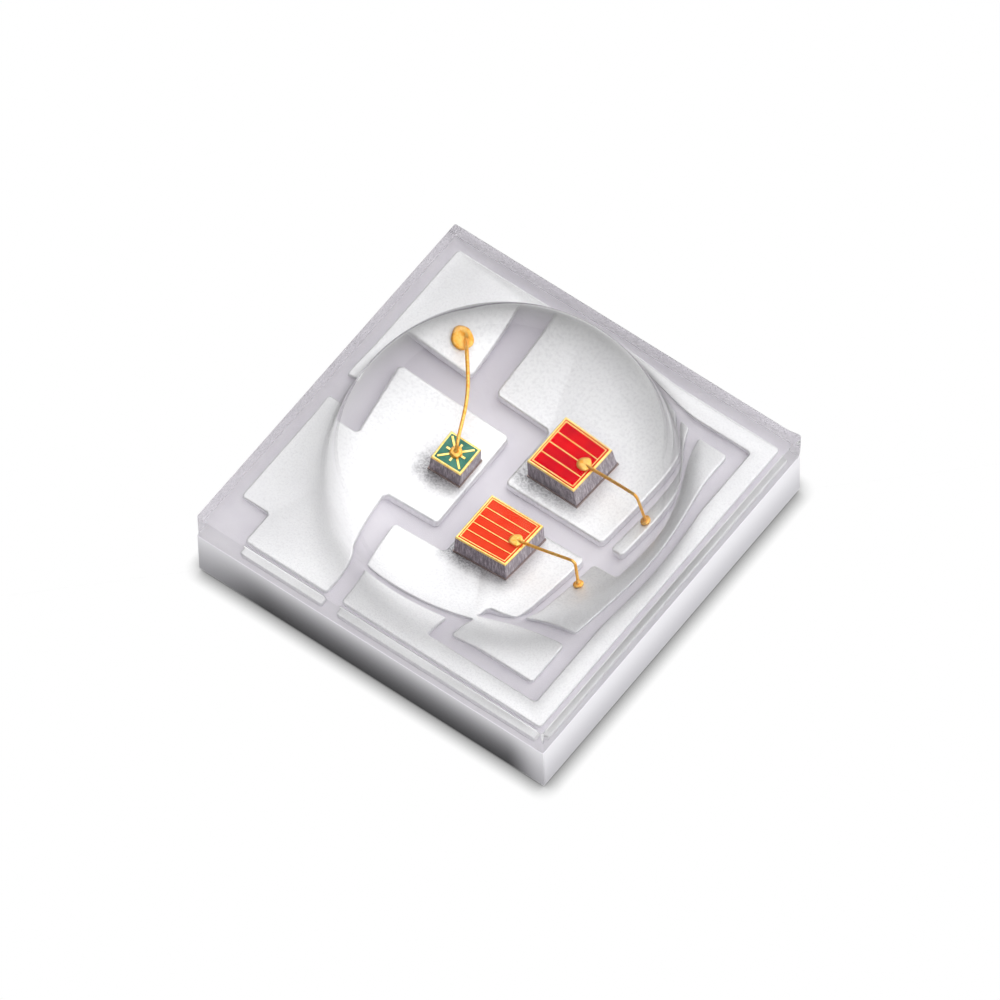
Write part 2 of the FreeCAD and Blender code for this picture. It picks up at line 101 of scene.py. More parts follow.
class Blots(NamedTuple):
    """An uneven pattern: its largest blots' size, its finer layers and how strong they are."""

    size_mm: float
    layers: float = 3.0
    strength: float = 0.55

    def over(self, where: NodeSocket | Node) -> dict:
        """The inputs of the noise node that draws the pattern over coordinates in metres."""
        scale = 1.0 / (self.size_mm * MM)
        return {"Vector": where, "Scale": scale, "Detail": self.layers, "Roughness": self.strength}


def linear(code: str) -> tuple[float, float, float, float]:
    """Turn an sRGB hex colour into the linear colour that a shader takes.

    Args:
        code: six hex digits, such as "F4F3F7".

    Returns:
        Linear red, green, blue and an alpha of 1.
    """
    srgb = np.array([int(code[i:i + 2], 16) for i in (0, 2, 4)]) / 255.0
    values = np.where(srgb <= 0.04045, srgb / 12.92, ((srgb + 0.055) / 1.055) ** 2.4)
    return (float(values[0]), float(values[1]), float(values[2]), 1.0)


def add_node(tree: NodeTree, kind: str, inputs: dict | Sequence, **settings: object) -> Node:
    """Add a shader node with its settings, input values and incoming links.

    Args:
        tree: the node tree.
        kind: the node's type without its leading "ShaderNode".
        inputs: the inputs' values, in order, or by name or number. An output socket is linked
            to its input, and so is a node, by its first output that is in use.
        settings: properties of the node itself.

    Returns:
        The new node.
    """
    node = tree.nodes.new("ShaderNode" + kind)
    for name, value in settings.items():
        setattr(node, name, value)
    named = inputs if isinstance(inputs, dict) else dict(enumerate(inputs))
    for key, value in named.items():
        if isinstance(value, Node):
            value = next(output for output in value.outputs if output.enabled)
        if isinstance(value, NodeSocket):
            tree.links.new(value, node.inputs[key])
        else:
            node.inputs[key].default_value = value
    return node


def new_material(name: str) -> tuple[Material, NodeTree, NodeSocket]:
    """Start an empty material.

    Args:
        name: the material's name.

    Returns:
        The material, its node tree and the Object coordinates.
    """
    material = bpy.data.materials.new(name)
    material.use_nodes = True
    tree = material.node_tree
    tree.nodes.clear()
    return material, tree, add_node(tree, "TexCoord", {}).outputs["Object"]


def millimetres(tree: NodeTree, where: NodeSocket) -> tuple:
    """Split coordinates into x, y and z, in millimetres.

    Args:
        tree: the node tree.
        where: the coordinates in metres.

    Returns:
        The three sockets.
    """
    scaled = add_node(tree, "VectorMath", {0: where, 3: 1.0 / MM}, operation="SCALE")
    return tuple(add_node(tree, "SeparateXYZ", (scaled,)).outputs)


def blotted(tree: NodeTree, where: NodeSocket, blots: Blots, share: Fade, colour: str,
            blot: str) -> Node:
    """A colour with soft blots of another.

    Args:
        tree: the node tree.
        where: the Object coordinates.
        blots: the blots' pattern.
        share: how much of the blots' colour the pattern's values give.
        colour: the ground's hex colour.
        blot: the blots' hex colour.

    Returns:
        The mixed colour.
    """
    pattern = add_node(tree, "TexNoise", blots.over(where))
    shown = add_node(tree, "MapRange", (pattern, *share), **SMOOTH)
    return add_node(tree, "Mix", {0: shown, 6: linear(colour), 7: linear(blot)}, data_type="RGBA")


def coat(material: Material, surface: dict, relief: Node | None = None,
         depth_mm: float = 0.0) -> Material:
    """Lead a surface, with its relief, to the material's output.

    Args:
        material: the material.
        surface: the surface shader's inputs.
        relief: the height pattern, or None where the surface is flat.
        depth_mm: how deep the pattern goes from 0 to 1, in millimetres.

    Returns:
        The material.
    """
    tree = material.node_tree
    if relief is not None:
        surface["Normal"] = add_node(tree, "Bump", {"Height": relief, "Distance": depth_mm * MM})
    add_node(tree, "OutputMaterial", (add_node(tree, "BsdfPrincipled", surface),))
    return material


@dataclass(frozen=True)
class ClearSilicone:
    """Optical silicone, cast in a polished mould.

    It is water clear and bends light less than glass does. The mould leaves it glossy, with a
    faint unevenness. Where the look grazes it, most of all on the dome's far side, painted shade
    darkens its colour, and fine white dust shows there. Lamps shine through it, so that the dies
    are lit.
    """

    ior: float = 1.41
    roughness: float = 0.0
    ripple: Blots = Blots(0.35, 1.0)
    ripple_depth_mm: float = 0.0003
    gloss_colour: str = "8C8C8C"
    clear_colour: str = "FFFFFF"
    painted_shade_colour: str = "232326"
    grazing: Fade = Fade(0.23, 0.84)
    far_side: Fade = Fade(0.2 * MM, 1.0 * MM, 0.36)
    dust: Blots = Blots(0.009, 1.0)
    dust_share: Fade = Fade(0.66, 0.74, 0.0, 0.22)
    dust_colour: str = "F4F4F6"

    def make(self) -> Material:
        """Build the material."""
        material, tree, where = new_material("clear_cast_silicone")
        ripple = add_node(tree, "TexNoise", self.ripple.over(where))
        skin = add_node(tree, "Bump", {"Height": ripple, "Distance": self.ripple_depth_mm * MM})
        # at this blend Facing is 1 less the cosine of the angle between the look and the skin
        facing = add_node(tree, "LayerWeight", {"Blend": 0.5}).outputs["Facing"]
        grazing = add_node(tree, "MapRange", (facing, *self.grazing), **SMOOTH)
        away = add_node(tree, "VectorMath", (where, (*FAR_WAY, 0.0)), operation="DOT_PRODUCT")
        far = add_node(tree, "MapRange", (away, *self.far_side), **SMOOTH)
        # painted shade: where the look grazes the skin on the dome's far side, its colour is
        # darkened
        painted_shade = add_node(tree, "Math", (grazing, far), operation="MULTIPLY")
        tint = add_node(tree, "Mix", {
            0: painted_shade, 6: linear(self.clear_colour), 7: linear(self.painted_shade_colour),
        }, data_type="RGBA")
        body = add_node(tree, "BsdfPrincipled", {
            "Base Color": tint, "Specular Tint": linear(self.gloss_colour),
            "Roughness": self.roughness, "IOR": self.ior, "Transmission Weight": 1.0,
            "Normal": skin,
        })
        dust = add_node(tree, "TexNoise", self.dust.over(where))
        specks = add_node(tree, "MapRange", (dust, *self.dust_share), **SMOOTH)
        share = add_node(tree, "Math", (specks, painted_shade), operation="MULTIPLY")
        white = add_node(tree, "BsdfDiffuse", {"Color": linear(self.dust_colour)})
        dusty = add_node(tree, "MixShader", (share, body, white))
        through = add_node(tree, "BsdfTransparent", {})
        lamp_ray = add_node(tree, "LightPath", {}).outputs["Is Shadow Ray"]
        add_node(tree, "OutputMaterial", (add_node(tree, "MixShader", (lamp_ray, dusty, through)),))
        return material


@dataclass(frozen=True)
class SilverPlate:
    """Matte silver, plated on thick copper.

    The plating is satin white with a fine grain. Round a die it is dulled and speckled by what
    the soldering of the die left behind, and darkened by painted shadow, both most of all in
    front of the die and to its left.
    """

    name: str = "matte_silver_plate"
    roughness: float = 0.58
    colour: str = "FAFAFB"
    cloud_colour: str = "ECEBEE"
    clouds: Blots = Blots(0.4, 2.0)
    cloud_share: Fade = Fade(0.3, 0.7, 0.0, 0.25)
    grain_colour: str = "D2D1D5"
    grain: Blots = Blots(0.016, 2.0)
    grain_share: Fade = Fade(0.42, 0.68, 0.0, 0.22)
    grain_depth_mm: float = 0.0006
    die_centre: Point | None = None
    die_half_side: float = 0.0
    residue_and_shadow_colour: str = "98979B"
    halo_mm: float = 0.13
    halo_rim: Point = (0.35, 1.3)
    halo_waves: Blots = Blots(0.05, 4.0)
    wave_height: float = 0.6
    back_share: float = 0.15
    right_reach: float = 1.4
    right_share: float = 0.3
    specks: Blots = Blots(0.012, 3.0, 0.7)
    speck_share: Fade = Fade(0.38, 0.66)
    speck_level: float = 0.65
    even_level: float = 0.5

    def halo(self, tree: NodeTree, where: NodeSocket) -> Node:
        """How residue and painted shadow dull the plating, by distance to the die's square outline.

        The distance is the length of what is left of (|x|, |y|) after half the die's side is
        taken away and what is negative is set to 0. Waves are added to it.

        Args:
            tree: the node tree.
            where: the Object coordinates.

        Returns:
            1 beside the die, falling to 0 at the halo's rim.
        """
        x, y, _ = millimetres(tree, where)
        (middle_x, middle_y), half = self.die_centre, self.die_half_side
        squares = []
        for value, middle in ((x, middle_x), (y, middle_y)):
            offset = add_node(tree, "Math", (value, middle), operation="SUBTRACT")
            away = add_node(tree, "Math", (offset,), operation="ABSOLUTE")
            beyond = add_node(tree, "Math", (away, half), operation="SUBTRACT")
            outside = add_node(tree, "Math", (beyond, 0.0), operation="MAXIMUM")
            squares.append(add_node(tree, "Math", (outside, 2.0), operation="POWER"))
        total = add_node(tree, "Math", squares, operation="ADD")
        distance = add_node(tree, "Math", (total,), operation="SQRT")
        waves = add_node(tree, "TexNoise", self.halo_waves.over(where))
        height = self.halo_mm * self.wave_height
        wobble = add_node(tree, "Math", (waves, height), operation="MULTIPLY")
        wavy = add_node(tree, "Math", (distance, wobble), operation="ADD")
        rim = Fade(*(self.halo_mm * share for share in self.halo_rim), 1.0, 0.0)
        near = add_node(tree, "MapRange", (wavy, *rim), **SMOOTH)
        # painted shadow: the halo is full in front of the die and to its left, weaker behind and to
        # the right
        back = Fade(middle_y - half, middle_y + half, 1.0, self.back_share)
        front = add_node(tree, "MapRange", (y, *back), **SMOOTH)
        right = Fade(middle_x - half, middle_x + half * self.right_reach, 1.0, self.right_share)
        left = add_node(tree, "MapRange", (x, *right), **SMOOTH)
        sides = add_node(tree, "Math", (front, left), operation="MULTIPLY")
        return add_node(tree, "Math", (near, sides), operation="MULTIPLY")

    def make(self) -> Material:
        """Build the material."""
        material, tree, where = new_material(self.name)
        colour = blotted(
            tree, where, self.clouds, self.cloud_share, self.colour, self.cloud_colour,
        )
        grain = add_node(tree, "TexNoise", self.grain.over(where))
        grained = add_node(tree, "MapRange", (grain, *self.grain_share), **SMOOTH)
        colour = add_node(tree, "Mix", {
            0: grained, 6: colour, 7: linear(self.grain_colour),
        }, data_type="RGBA")
        if self.die_centre is not None:
            # round the die, solder residue and painted shadow darken the plating
            dull = self.halo(tree, where)
            specks = add_node(tree, "TexNoise", self.specks.over(where))
            speckled = add_node(tree, "MapRange", (specks, *self.speck_share), **SMOOTH)
            level = add_node(
                tree, "Math", (speckled, self.speck_level, self.even_level),
                operation="MULTIPLY_ADD",
            )
            share = add_node(tree, "Math", (dull, level), operation="MULTIPLY")
            colour = add_node(tree, "Mix", {
                0: share, 6: colour, 7: linear(self.residue_and_shadow_colour),
            }, data_type="RGBA")
        surface = {"Base Color": colour, "Metallic": 1.0, "Roughness": self.roughness}
        return coat(material, surface, grain, self.grain_depth_mm)


@dataclass(frozen=True)
class WhiteCeramic:
    """Fired and diced technical ceramic.

    The sawn sides are chalk white, greyed by painted shade at their foot. The top, wetted by the
    silicone, is a lavender grey, darker where the dome's far side shades it. Painted shade
    darkens the lower part of the side that faces -Y.
    """

    roughness: float = 0.6
    ior: float = 1.5
    grain: Blots = Blots(0.03, 4.0, 0.6)
    grain_depth_mm: float = 0.0015
    top_colour: str = "F4F0F7"
    wetted: Fade = Fade(TILE_TOP - 0.02, TILE_TOP - 0.004)
    mottle_colour: str = "E9E4EE"
    mottle: Blots = Blots(0.25)
    mottle_share: Fade = Fade(0.35, 0.7, 0.0, 0.4)
    shaded_colour: str = "CBC6CF"
    shade_rim: Fade = Fade(1.26, 1.38, 1.0, 0.0)
    shade_depth: Fade = Fade(0.3, 1.15)
    side_colour: str = "E8E7EA"
    foot_shade_colour: str = "8F8D93"
    foot: Fade = Fade(TILE_BOTTOM, TILE_TOP, 0.5, 0.0)
    above_underside: Fade = Fade(TILE_BOTTOM + 0.002, TILE_BOTTOM + 0.012)
    side_shade_colour: str = "2E2D30"
    side_shade_height: Point = (TILE_BOTTOM - 0.05, TILE_TOP + 0.05)
    side_shade_front: Fade = Fade(TILE_FRONT + 0.002, TILE_FRONT + 0.03, 1.0, 0.0)
    side_shade_left: Fade = Fade(-1.75, -1.0, 0.35, 1.0)
    side_shade_right: Fade = Fade(1.35, 1.72, 1.0, 0.25)

    def shade(self, tree: NodeTree, x: NodeSocket, y: NodeSocket) -> Node:
        """How far the dome's far side keeps light from the top.

        It grows away from the viewer and ends within the dome's foot.

        Args:
            tree: the node tree.
            x: the first coordinate in millimetres.
            y: the second one.

        Returns:
            0 in the light, 1 in full shade.
        """
        squares, steps = [], []
        for value, way in zip((x, y), FAR_WAY):
            offset = add_node(tree, "Math", (value, DOME_SHIFT), operation="SUBTRACT")
            squares.append(add_node(tree, "Math", (offset, 2.0), operation="POWER"))
            steps.append(add_node(tree, "Math", (value, way), operation="MULTIPLY"))
        total = add_node(tree, "Math", squares, operation="ADD")
        from_axis = add_node(tree, "Math", (total,), operation="SQRT")
        inside = add_node(tree, "MapRange", (from_axis, *self.shade_rim), **SMOOTH)
        away = add_node(tree, "Math", steps, operation="ADD")
        far = add_node(tree, "MapRange", (away, *self.shade_depth), **SMOOTH)
        return add_node(tree, "Math", (inside, far), operation="MULTIPLY")

    def side_shade(self, tree: NodeTree, x: NodeSocket, y: NodeSocket, z: NodeSocket) -> Node:
        """How dark the painted shade makes the side that faces -Y.

        It is 1 less the square of how far up the side a point lies, and fades at both ends.

        Args:
            tree: the node tree.
            x: the first coordinate in millimetres.
            y: the second one.
            z: the third one.

        Returns:
            0 where the side is clean, 1 where it is fully stained.
        """
        rise = add_node(tree, "MapRange", (z, *self.side_shade_height))
        square = add_node(tree, "Math", (rise, 2.0), operation="POWER")
        low = add_node(tree, "Math", (1.0, square), operation="SUBTRACT")
        front = add_node(tree, "MapRange", (y, *self.side_shade_front), **SMOOTH)
        left = add_node(tree, "MapRange", (x, *self.side_shade_left), **SMOOTH)
        right = add_node(tree, "MapRange", (x, *self.side_shade_right), **SMOOTH)
        low_front = add_node(tree, "Math", (low, front), operation="MULTIPLY")
        ends = add_node(tree, "Math", (left, right), operation="MULTIPLY")
        return add_node(tree, "Math", (low_front, ends), operation="MULTIPLY")

    def make(self) -> Material:
        """Build the material."""
        material, tree, where = new_material("fired_white_ceramic")
        x, y, z = millimetres(tree, where)
        top = blotted(
            tree, where, self.mottle, self.mottle_share, self.top_colour, self.mottle_colour,
        )
        top = add_node(tree, "Mix", {
            0: self.shade(tree, x, y), 6: top, 7: linear(self.shaded_colour),
        }, data_type="RGBA")
        # painted shade: the sides grey towards their foot, but the underside does not
        low = add_node(tree, "MapRange", (z, *self.foot), **SMOOTH)
        above = add_node(tree, "MapRange", (z, *self.above_underside), **SMOOTH)
        foot = add_node(tree, "Math", (low, above), operation="MULTIPLY")
        sides = add_node(tree, "Mix", {
            0: foot, 6: linear(self.side_colour), 7: linear(self.foot_shade_colour),
        }, data_type="RGBA")
        # painted shade: the lower part of the -Y side is darkened
        sides = add_node(tree, "Mix", {
            0: self.side_shade(tree, x, y, z), 6: sides, 7: linear(self.side_shade_colour),
        }, data_type="RGBA")
        wetted = add_node(tree, "MapRange", (z, *self.wetted), **SMOOTH)
        colour = add_node(tree, "Mix", {0: wetted, 6: sides, 7: top}, data_type="RGBA")
        grain = add_node(tree, "TexNoise", self.grain.over(where))
        surface = {"Base Color": colour, "Roughness": self.roughness, "IOR": self.ior}
        return coat(material, surface, grain, self.grain_depth_mm)


@dataclass(frozen=True)
class BondGold:
    """Pure gold, drawn to wire, melted to a ball or vapour-plated on a die.

    It is a warm orange yellow, bright but not mirror sharp.
    """

    name: str = "drawn_gold"
    colour: str = "FFD078"
    shade: str = "FFB244"
    roughness: float = 0.48
    blots: Blots = Blots(0.02)
    blot_share: Fade = Fade(0.35, 0.7)
    dents: Blots = Blots(0.012, 2.0)
    dent_depth_mm: float = 0.0008

    def make(self) -> Material:
        """Build the material."""
        material, tree, where = new_material(self.name)
        colour = blotted(tree, where, self.blots, self.blot_share, self.colour, self.shade)
        dents = add_node(tree, "TexNoise", self.dents.over(where))
        surface = {"Base Color": colour, "Metallic": 1.0, "Roughness": self.roughness}
        return coat(material, surface, dents, self.dent_depth_mm)


@dataclass(frozen=True)
class Emitter:
    """The grown layer that shines, etched flat.

    Unlit it shows its own deep colour, a little uneven, under a weak gloss.
    """

    name: str
    colour: str
    deep: str
    blots: Blots = Blots(0.12)
    blot_share: Fade = Fade(0.3, 0.75)
    roughness: float = 0.35
    ior: float = 1.45
    gloss: float = 0.02

    def make(self) -> Material:
        """Build the material."""
        material, tree, where = new_material(self.name)
        return coat(material, {
            "Base Color": blotted(
                tree, where, self.blots, self.blot_share, self.colour, self.deep,
            ),
            "Roughness": self.roughness, "IOR": self.ior, "Specular IOR Level": self.gloss,
        })


@dataclass(frozen=True)
class SawnDie:
    """Semiconductor wafer, sawn and broken into dies.

    The sides are a dark purple grey with paler upright saw marks. The side that faces +X is
    painted paler, as painted light.
    """

    name: str
    corner: Point
    colour: str = "665B64"
    mark: str = "B3A7AF"
    lit_side_colour: str = "978B95"
    lit_side_mark: str = "DDD5DB"
    lit_side_edge: Fade = Fade(-0.004, 0.01)
    marks: Blots = Blots(0.014, 4.0, 0.7)
    mark_squeeze: Place = (1.0, 1.0, 0.2)
    mark_share: Fade = Fade(0.4, 0.75)
    mark_depth_mm: float = 0.002
    roughness: float = 0.45
    ior: float = 1.5

    def make(self) -> Material:
        """Build the material.

        A point lies on the +X side where it is nearer to that side than to the -Y side.
        """
        material, tree, where = new_material(self.name)
        x, y, _ = millimetres(tree, where)
        from_front = add_node(tree, "Math", (y, self.corner[1]), operation="SUBTRACT")
        from_right = add_node(tree, "Math", (self.corner[0], x), operation="SUBTRACT")
        nearer = add_node(tree, "Math", (from_front, from_right), operation="SUBTRACT")
        # painted light: the +X side is paler than the others
        lit_side = add_node(tree, "MapRange", (nearer, *self.lit_side_edge), **SMOOTH)
        upright = add_node(tree, "Mapping", {"Vector": where, "Scale": self.mark_squeeze})
        marks = add_node(tree, "TexNoise", self.marks.over(upright))
        share = add_node(tree, "MapRange", (marks, *self.mark_share), **SMOOTH)
        ground = add_node(tree, "Mix", {
            0: lit_side, 6: linear(self.colour), 7: linear(self.lit_side_colour),
        }, data_type="RGBA")
        mark = add_node(tree, "Mix", {
            0: lit_side, 6: linear(self.mark), 7: linear(self.lit_side_mark),
        }, data_type="RGBA")
        colour = add_node(tree, "Mix", {0: share, 6: ground, 7: mark}, data_type="RGBA")
        surface = {"Base Color": colour, "Roughness": self.roughness, "IOR": self.ior}
        return coat(material, surface, marks, self.mark_depth_mm)


@dataclass(frozen=True)
class Copper:
    """Electroplated copper that fills the holes of the tile. It is salmon pink and dull."""

    colour: str = "E0A58A"
    shade: str = "C98468"
    blots: Blots = Blots(0.03)
    blot_share: Fade = Fade(0.3, 0.7)
    roughness: float = 0.4

    def make(self) -> Material:
        """Build the material."""
        material, tree, where = new_material("plated_copper_fill")
        colour = blotted(tree, where, self.blots, self.blot_share, self.colour, self.shade)
        return coat(material, {
            "Base Color": colour, "Metallic": 1.0, "Roughness": self.roughness,
        })


@dataclass(frozen=True)
class DieBond:
    """Solder that holds a die. It is grey and rough where it was squeezed out."""

    colour: str = "8A878C"
    shade: str = "B59A8C"
    grain: Blots = Blots(0.01, 4.0, 0.7)
    grain_depth_mm: float = 0.002
    roughness: float = 0.5

    def make(self) -> Material:
        """Build the material."""
        material, tree, where = new_material("squeezed_die_solder")
        grain = add_node(tree, "TexNoise", self.grain.over(where))
        colour = add_node(tree, "Mix", {
            0: grain, 6: linear(self.colour), 7: linear(self.shade),
        }, data_type="RGBA")
        surface = {"Base Color": colour, "Metallic": 1.0, "Roughness": self.roughness}
        return coat(material, surface, grain, self.grain_depth_mm)


# on a smooth piece, a corner sharper than this keeps its edge
SHARP_ANGLE = math.radians(50.0)
# a node's points nearer than this are made one, and so are faces flatter than this
WELD_MM, FLAT_ANGLE = 1e-4, math.radians(1.0)
# edges sharper than this are broken, with this many facets across
BROKEN_ANGLE, BROKEN_FACETS = math.radians(30.0), 3


def span(node: str) -> tuple[np.ndarray, np.ndarray]:
    """A node's lowest and highest corners in millimetres.

    Args:
        node: the node's name.

    Returns:
        The two corners.
    """
    low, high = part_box(node)
    return np.array(low) / MM, np.array(high) / MM


def dress(piece: Object, material: Material) -> Object:
    """Give a piece its one material.

    Args:
        piece: the object.
        material: the material for all its faces.

    Returns:
        The object.
    """
    piece.data.materials.clear()
    piece.data.materials.append(material)
    return piece


def add_piece(name: str, points: np.ndarray, faces: list, slot: Slot, material: Material,
              *replaced: str) -> Object:
    """Turn points and faces into a smooth piece that rides with the package.

    Args:
        name: the piece's name.
        points: one row of x, y and z in millimetres for each point.
        faces: tuples of point numbers.
        slot: the record's material slot; not used.
        material: its finish.
        replaced: the nodes that it stands for.

    Returns:
        The new object.
    """
    mesh = bpy.data.meshes.new(name)
    mesh.from_pydata((points * MM).tolist(), [], faces)
    mesh.validate()
    mesh.shade_smooth()
    mesh.set_sharp_from_angle(angle=SHARP_ANGLE)
    piece = bpy.data.objects.new(name, mesh)
    bpy.context.scene.collection.objects.link(piece)
    dress(piece, material)
    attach(piece, "root")
    if replaced:
        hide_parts(*replaced)
    return piece


def soften(node: str, width_mm: float, material: Material) -> Object:
    """Stand a copy with broken edges in for a node.

    Args:
        node: the node's name.
        width_mm: how far the rounding reaches from an edge.
        material: its finish.

    Returns:
        The copy.
    """
    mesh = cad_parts[node].data.copy()
    work = bmesh.new()
    work.from_mesh(mesh)
    bmesh.ops.remove_doubles(work, verts=work.verts, dist=WELD_MM * MM)
    bmesh.ops.dissolve_limit(
        work, angle_limit=FLAT_ANGLE, verts=work.verts, edges=work.edges, delimit=set(),
    )
    work.to_mesh(mesh)
    work.free()
    piece = bpy.data.objects.new(node + "_finished", mesh)
    bpy.context.scene.collection.objects.link(piece)
    rounding = piece.modifiers.new("broken_edges", "BEVEL")
    rounding.width = width_mm * MM
    rounding.segments = BROKEN_FACETS
    rounding.limit_method = "ANGLE"
    rounding.angle_limit = BROKEN_ANGLE
    rounding.harden_normals = True
    mesh.shade_smooth()
    dress(piece, material)
    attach(piece, "root")
    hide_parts(node)
    return piece


def grid_faces(columns: int, rows: int) -> list:
    """Four-sided faces of a grid that closes on itself across its columns.

    Args:
        columns: how many columns it has.
        rows: how many points each column has.

    Returns:
        The faces, with their outer side out where the columns run anticlockwise and down.
    """
    column, row = np.meshgrid(np.arange(columns), np.arange(rows - 1), indexing="ij")
    here = column * rows + row
    beside = (column + 1) % columns * rows + row
    return np.stack([here, here + 1, beside + 1, beside], axis=-1).reshape(-1, 4).tolist()


def closed_faces(columns: int, rows: int) -> list:
    """Faces of a grid whose columns meet at two poles, which are numbered after its points.

    Args:
        columns: how many columns it has.
        rows: how many points each column has.

    Returns:
        The faces.
    """
    here = np.arange(columns) * rows
    beside = np.roll(here, -1)
    pole = np.full(columns, columns * rows)
    first = np.stack([pole, here, beside], axis=-1)
    last = np.stack([here + rows - 1, pole + 1, beside + rows - 1], axis=-1)
    return grid_faces(columns, rows) + first.tolist() + last.tolist()


@dataclass
class SiliconeLens:
    """The clear moulding: a square flange, a dome and the small fillet at its foot."""

    material: Material
    dome_radius: float = 1.44
    dome_shift: float = DOME_SHIFT
    flange_thickness: float = 0.29
    foot_radius: float = 0.20
    sink: float = 0.004
    wall_inset: float = 0.0015
    corner_radius: float = 0.02
    edge_radius: float = 0.012
    burr: float = 0.02
    burr_width: float = 0.07
    side_points: int = 90
    corner_points: int = 8
    dome_rows: int = 90
    foot_rows: int = 14
    flat_shares: tuple[float, ...] = (0.05, 0.35, 0.7, 0.95, 1.0)
    edge_degrees: tuple[float, ...] = (18.0, 36.0, 54.0, 72.0, 90.0)
    wall_shares: tuple[float, ...] = (0.02, 0.2, 0.4, 0.6, 0.8, 0.98, 1.0)
    under_shares: Point = (0.02, 0.5)

    def __post_init__(self) -> None:
        """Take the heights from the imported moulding.

        The underside sinks a little into the tile, so that no air is left between the two.
        """
        low, high = span("silicone_lens")
        self.half_side = float(high[0])
        self.bottom = float(low[2]) - self.sink
        self.flange_top = float(low[2]) + self.flange_thickness
        self.dome_centre = (self.dome_shift, self.dome_shift, float(high[2]) - self.dome_radius)

    def outline(self) -> tuple[np.ndarray, np.ndarray]:
        """The flange's outline, anticlockwise, and its outward direction at each point.

        Each corner is a quarter circle, and a straight side joins it to the next.

        Returns:
            Points and unit directions, one row each.
        """
        half = self.half_side - self.wall_inset
        reach = half - self.corner_radius
        turns = np.linspace(0.0, 90.0, self.corner_points)
        points, outward = [], []
        for quarter, (sx, sy) in enumerate(((1, 1), (-1, 1), (-1, -1), (1, -1))):
            angle = np.radians(turns + 90.0 * quarter)
            arc_out = np.stack([np.cos(angle), np.sin(angle)], axis=1)
            arc = np.array([sx, sy]) * reach + arc_out * self.corner_radius
            after = np.array([-sy, sx]) * reach + arc_out[-1] * self.corner_radius
            share = np.linspace(0.0, 1.0, self.side_points)[1:-1, None]
            side = arc[-1] + (after - arc[-1]) * share
            points += [arc, side]
            outward += [arc_out, np.repeat(arc_out[-1:], len(side), axis=0)]
        return np.concatenate(points), np.concatenate(outward)

    def dome_profile(self) -> np.ndarray:
        """Distance from the dome's axis and height, from the crown to the foot.

        The dome is an arc of the sphere. The fillet is an arc that touches both the sphere and
        the flange, so its centre lies at the sum of both radii from the sphere's centre.

        Returns:
            One row of distance and height for each point, without the crown itself.
        """
        rise = self.flange_top - self.dome_centre[2]
        both = self.dome_radius + self.foot_radius
        foot = math.sqrt(both ** 2 - (rise + self.foot_radius) ** 2)
        touch = math.asin(foot / both)
        fall = np.linspace(0.0, touch, self.dome_rows + 1)[1:]
        dome = np.stack([np.sin(fall), np.cos(fall)], axis=1) * self.dome_radius
        dome[:, 1] += self.dome_centre[2]
        turn = np.linspace(1.5 * math.pi - touch, 1.5 * math.pi, self.foot_rows + 1)[1:]
        fillet = np.stack([foot + self.foot_radius * np.cos(turn),
                           self.flange_top + self.foot_radius * (1 + np.sin(turn))], axis=1)
        return np.concatenate([dome, fillet])

    def build(self) -> Object:
        """Carry the profile round the outline.

        Every column leaves the dome's axis towards one point of the outline. On the dome and its
        foot a point is the axis plus its distance times the column's direction. From there the
        column runs flat to the flange's rounded edge, down the wall and back under the flange.
        A bell curve round the +X, +Y corner swells the edge and the wall there into a burr.

        Returns:
            The piece.
        """
        rim, outward = self.outline()
        corner = np.array([1.0, 1.0]) * self.half_side
        away = np.linalg.norm(rim - corner, axis=1)
        swell = self.burr * np.exp(-((away / self.burr_width) ** 2))
        axis = np.array(self.dome_centre[:2])
        inner = rim - outward * self.edge_radius
        towards = (inner - axis) / np.linalg.norm(inner - axis, axis=1)[:, None]

        columns = []
        for distance, height in self.dome_profile():
            spot = axis + towards * distance
            columns.append(np.column_stack([spot, np.full(len(rim), height)]))
        foot = columns[-1][:, :2]
        for share in self.flat_shares:
            spot = foot + (inner - foot) * share
            columns.append(np.column_stack([spot, np.full(len(rim), self.flange_top)]))
        for turn in np.radians(self.edge_degrees):
            reach = self.edge_radius * math.sin(turn) + swell * math.sin(turn)
            out = inner + outward * reach[:, None]
            drop = self.edge_radius * (1 - math.cos(turn))
            columns.append(np.column_stack([out, np.full(len(rim), self.flange_top - drop)]))
        wall_top = self.flange_top - self.edge_radius
        for share in self.wall_shares:
            bulge = swell * math.sqrt(math.cos(share * math.pi / 2))
            out = rim + outward * bulge[:, None]
            height = wall_top + (self.bottom - wall_top) * share
            columns.append(np.column_stack([out, np.full(len(rim), height)]))
        for share in self.under_shares:
            spot = rim + (axis - rim) * share
            columns.append(np.column_stack([spot, np.full(len(rim), self.bottom)]))

        grid = np.stack(columns, axis=1)
        count, rows = grid.shape[:2]
        poles = np.array([[*axis, self.dome_centre[2] + self.dome_radius], [*axis, self.bottom]])
        points = np.concatenate([grid.reshape(-1, 3), poles])
        return add_piece(
            "silicone_lens_skin", points, closed_faces(count, rows), Slot.SILICONE,
            self.material, "silicone_lens",
        )


